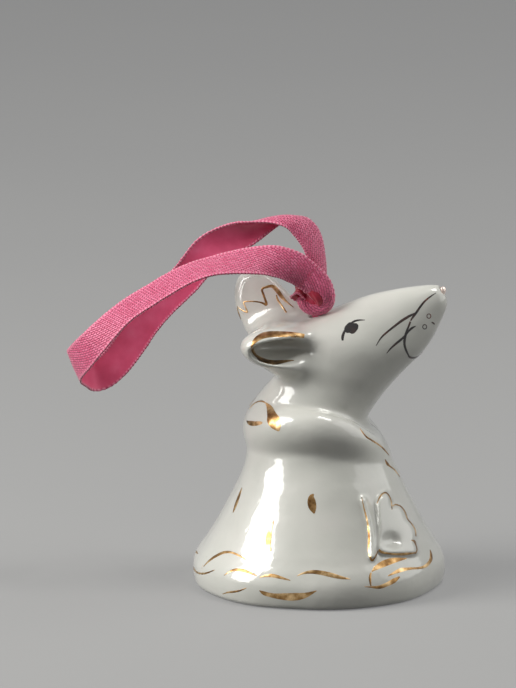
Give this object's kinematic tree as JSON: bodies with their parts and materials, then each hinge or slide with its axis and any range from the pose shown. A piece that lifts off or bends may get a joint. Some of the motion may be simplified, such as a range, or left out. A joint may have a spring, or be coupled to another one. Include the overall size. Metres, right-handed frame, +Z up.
{
  "type": "porcelain bell figurine",
  "caption": "Glazed porcelain bell in the form of a mouse looking up, with gold strokes, a swinging clapper inside and a satin ribbon to hang it by.",
  "frame": {"origin": "middle of the hem's foot ring, on the surface that the bell stands on", "axes": "+Z up, +X the way the mouse faces, +Y to its left, which is the side away from the picture's camera"},
  "size_m": [0.0814, 0.055, 0.0811],
  "materials": {
    "porcelain": "clear gloss glaze over white porcelain",
    "gold_lustre": "fired gold lustre, bright",
    "ribbon": "woven satin ribbon",
    "wire": "bare bent wire"
  },
  "bodies": {
    "bell": {"bell_body": "porcelain", "nose_bead": "gold_lustre", "ribbon_knot": "ribbon", "ribbon_tail": "ribbon"},
    "hanging_loop": {"ribbon_loop": "ribbon"},
    "link": {"clapper_ring": "wire"},
    "clapper": {"clapper_wire": "wire", "clapper_ball": "porcelain"}
  },
  "joints": [
    {"name": "ribbon_lift", "type": "hinge", "parent": "bell", "child": "hanging_loop", "pos_m": [-0.0003, 0, 0.062], "axis": [0, 1, 0], "range_deg": [0, 45]},
    {"name": "link_swing", "type": "hinge", "parent": "bell", "child": "link", "pos_m": [-0.0003, 0, 0.05046], "axis": [0, 1, 0], "range_deg": [-17, 17]},
    {"name": "clapper_swing", "type": "hinge", "parent": "link", "child": "clapper", "pos_m": [-0.0003, 0, 0.04851], "axis": [1, 0, 0], "range_deg": [-17, 17]}
  ]
}
